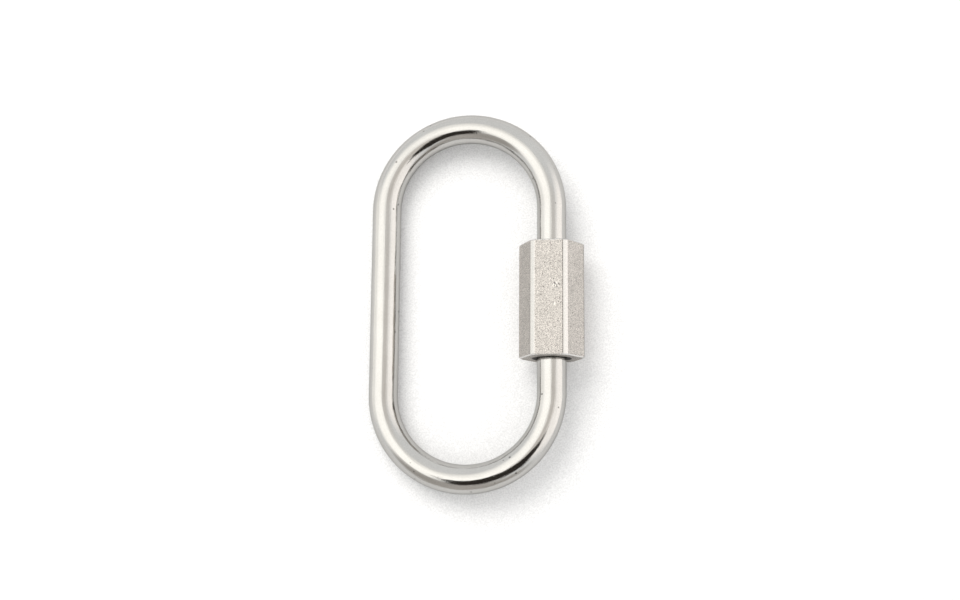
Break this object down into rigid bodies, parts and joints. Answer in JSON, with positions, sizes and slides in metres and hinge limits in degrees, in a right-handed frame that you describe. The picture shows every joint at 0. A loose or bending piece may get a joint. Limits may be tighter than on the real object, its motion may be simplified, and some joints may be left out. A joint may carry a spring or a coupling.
{
  "type": "screw-lock oval link",
  "caption": "Oval loop of round steel bar with a threaded hexagonal sleeve that unscrews along one side to open it for keys.",
  "frame": {"origin": "centre of the oval loop, on the middle plane of the bar", "axes": "+Y along the loop's long axis, from the side that the sleeve opens towards to the other; +X towards the gated side that carries the sleeve; +Z across the loop's thickness"},
  "size_m": [0.0258, 0.0462, 0.007],
  "materials": {
    "bar_steel": "satin polished, smooth round bar",
    "thread_steel": "rolled thread",
    "sleeve_steel": "fine matte flats with polished corner lands",
    "bore_steel": "bored, plain"
  },
  "bodies": {
    "link": {"bent_bar": "bar_steel", "long_end_thread": "thread_steel", "short_end_thread": "thread_steel"},
    "bore": {"bore_ring": "bore_steel"},
    "sleeve": {"hex_sleeve": "sleeve_steel", "sleeve_thread": "thread_steel"}
  },
  "joints": [
    {"name": "sleeve_travel", "type": "slide", "parent": "link", "child": "bore", "axis": [0, -1, 0], "range_m": [0, 0.0056]},
    {"name": "sleeve_turn", "type": "hinge", "parent": "bore", "child": "sleeve", "pos_m": [0.0102, -0.0003, 0], "axis": [0, -1, 0], "range_deg": [0, 2880]}
  ],
  "couplings": [
    {"joint": "sleeve_turn", "follows": "sleeve_travel", "rad_per_m": 8976}
  ]
}
